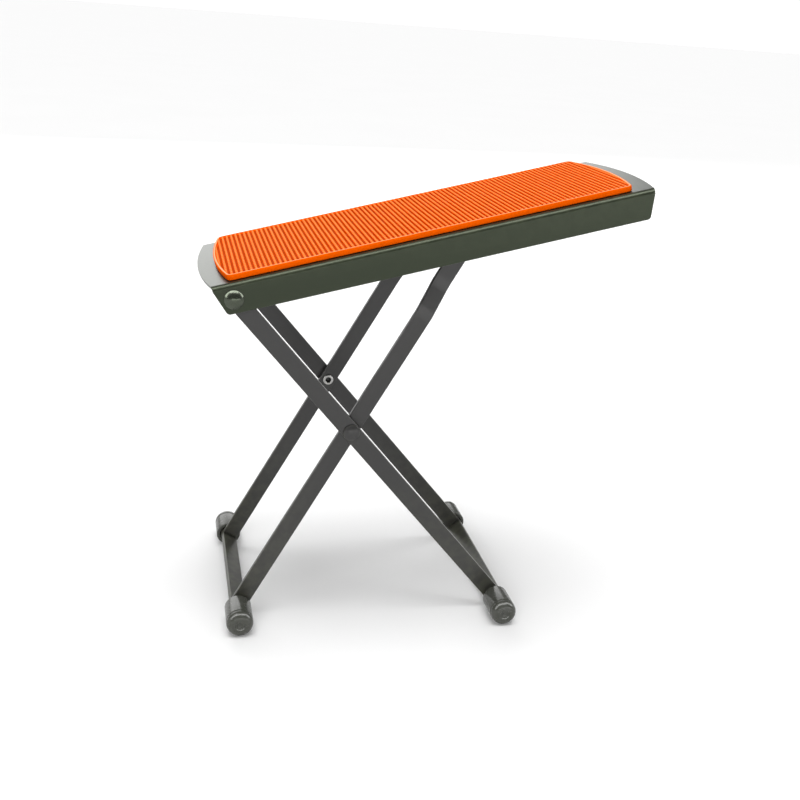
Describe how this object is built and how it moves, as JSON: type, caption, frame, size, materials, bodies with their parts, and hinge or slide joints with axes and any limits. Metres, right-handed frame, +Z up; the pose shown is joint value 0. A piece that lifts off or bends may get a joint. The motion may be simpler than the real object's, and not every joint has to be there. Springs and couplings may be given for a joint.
{
  "type": "folding footrest",
  "caption": "Folding scissor-leg footrest for a seated guitarist: tilted steel channel platform with a ribbed rubber mat, flat-bar legs and round rubber end caps.",
  "frame": {"origin": "on the floor, under the middle of the overall box", "axes": "+X along the platform towards its raised end, +Y across to the rear, +Z up"},
  "size_m": [0.2744, 0.1564, 0.2896],
  "materials": {
    "coat": "satin grey-black powder coat",
    "zinc": "zinc plated",
    "cap_rubber": "matte moulded rubber",
    "mat_rubber": "satin moulded rubber, cross ribs"
  },
  "bodies": {
    "outer_frame": {"outer_leg_front": "coat", "outer_leg_rear": "coat", "outer_crossbar": "coat", "outer_cap_front": "cap_rubber", "outer_cap_rear": "cap_rubber", "cross_rivet_front": "coat", "cross_rivet_rear": "coat", "cross_washer_front": "zinc", "cross_washer_rear": "zinc"},
    "inner_frame": {"inner_leg_front": "coat", "inner_leg_rear": "coat", "inner_crossbar": "coat", "inner_cap_front": "cap_rubber", "inner_cap_rear": "cap_rubber", "locking_rod": "zinc", "rod_clip_front": "zinc", "rod_clip_rear": "zinc"},
    "platform": {"top_plate": "coat", "rubber_mat": "mat_rubber", "rack_front": "coat", "rack_rear": "coat", "pivot_rivet_front": "coat", "pivot_rivet_rear": "coat", "pivot_washer_front": "zinc", "pivot_washer_rear": "zinc"}
  },
  "joints": [
    {"name": "fold", "type": "hinge", "parent": "outer_frame", "child": "inner_frame", "pos_m": [-0.04484, 0, 0.13033], "axis": [0, 1, 0], "range_deg": [0, 110]},
    {"name": "platform_pivot", "type": "hinge", "parent": "outer_frame", "child": "platform", "pos_m": [-0.11846, 0, 0.21554], "axis": [0, 1, 0], "range_deg": [0, 63.2]}
  ],
  "couplings": [
    {"joint": "platform_pivot", "follows": "fold", "ratio": 0.57364}
  ]
}
